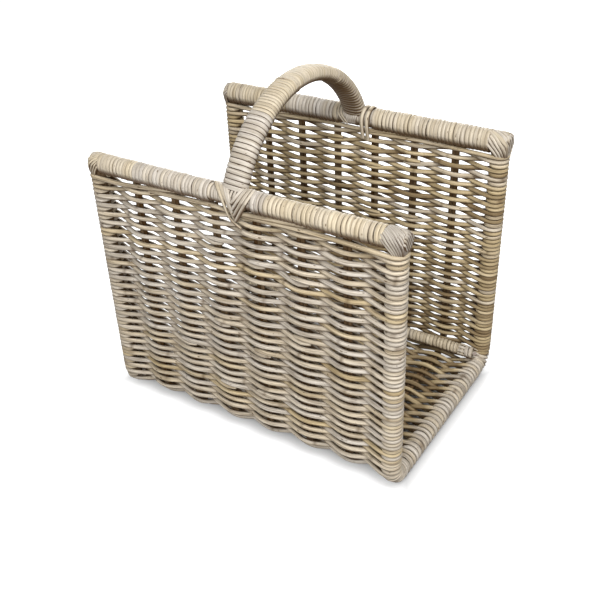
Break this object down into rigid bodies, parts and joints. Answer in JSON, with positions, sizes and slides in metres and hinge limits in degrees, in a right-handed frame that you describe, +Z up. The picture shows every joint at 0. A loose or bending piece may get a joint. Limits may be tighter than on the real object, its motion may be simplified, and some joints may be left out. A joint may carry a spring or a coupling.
{
  "type": "magazine rack",
  "caption": "Open-ended woven rattan magazine rack: a U of plain-woven strands on bent end hoops, with wrapped top rails and an arched carrying handle",
  "frame": {"origin": "on the floor, at the middle of the box of the rack", "axes": "+X along the top rails, through the open ends; +Y from the front panel to the back panel, across the handle; +Z up"},
  "size_m": [0.4, 0.2856, 0.4124],
  "materials": {
    "weaver_strand": "dry natural rattan, grey-beige",
    "stake_rod": "dry natural rattan, brown",
    "peel_wrap": "smooth rattan peel, cream",
    "lashing_peel": "smooth rattan peel, pale grey",
    "bent_pole": "bare rattan pole",
    "nail_steel": "dull wire nail"
  },
  "bodies": {
    "root": {"back_bottom_rail": "bent_pole", "back_bottom_rail_winding_1": "peel_wrap", "back_bottom_rail_winding_2": "peel_wrap", "back_bottom_rail_winding_3": "peel_wrap", "back_handle_lashing": "lashing_peel", "back_left_bottom_rail_lashing": "lashing_peel", "back_left_corner_lashing": "lashing_peel", "back_panel_weave": "weaver_strand", "back_right_bottom_rail_lashing": "lashing_peel", "back_right_corner_lashing": "lashing_peel", "back_top_rail": "bent_pole", "back_top_rail_winding_1": "peel_wrap", "back_top_rail_winding_2": "peel_wrap", "back_top_rail_winding_3": "peel_wrap", "back_top_rail_winding_4": "peel_wrap", "bottom_rail_nails": "nail_steel", "corner_nails": "nail_steel", "floor_weave": "weaver_strand", "front_bottom_rail": "bent_pole", "front_bottom_rail_winding_1": "peel_wrap", "front_bottom_rail_winding_2": "peel_wrap", "front_bottom_rail_winding_3": "peel_wrap", "front_handle_lashing": "lashing_peel", "front_left_bottom_rail_lashing": "lashing_peel", "front_left_corner_lashing": "lashing_peel", "front_panel_weave": "weaver_strand", "front_right_bottom_rail_lashing": "lashing_peel", "front_right_corner_lashing": "lashing_peel", "front_top_rail": "bent_pole", "front_top_rail_winding_1": "peel_wrap", "front_top_rail_winding_2": "peel_wrap", "front_top_rail_winding_3": "peel_wrap", "front_top_rail_winding_4": "peel_wrap", "handle_nails": "nail_steel", "handle_winding_1": "peel_wrap", "handle_winding_2": "peel_wrap", "handle_winding_3": "peel_wrap", "handle_winding_4": "peel_wrap", "left_end_hoop": "bent_pole", "left_handle_pole": "bent_pole", "right_end_hoop": "bent_pole", "right_handle_pole": "bent_pole", "stake_pair_1": "stake_rod", "stake_pair_2": "stake_rod", "stake_pair_3": "stake_rod", "stake_pair_4": "stake_rod", "stake_pair_5": "stake_rod", "stake_pair_6": "stake_rod"}
  },
  "joints": []
}
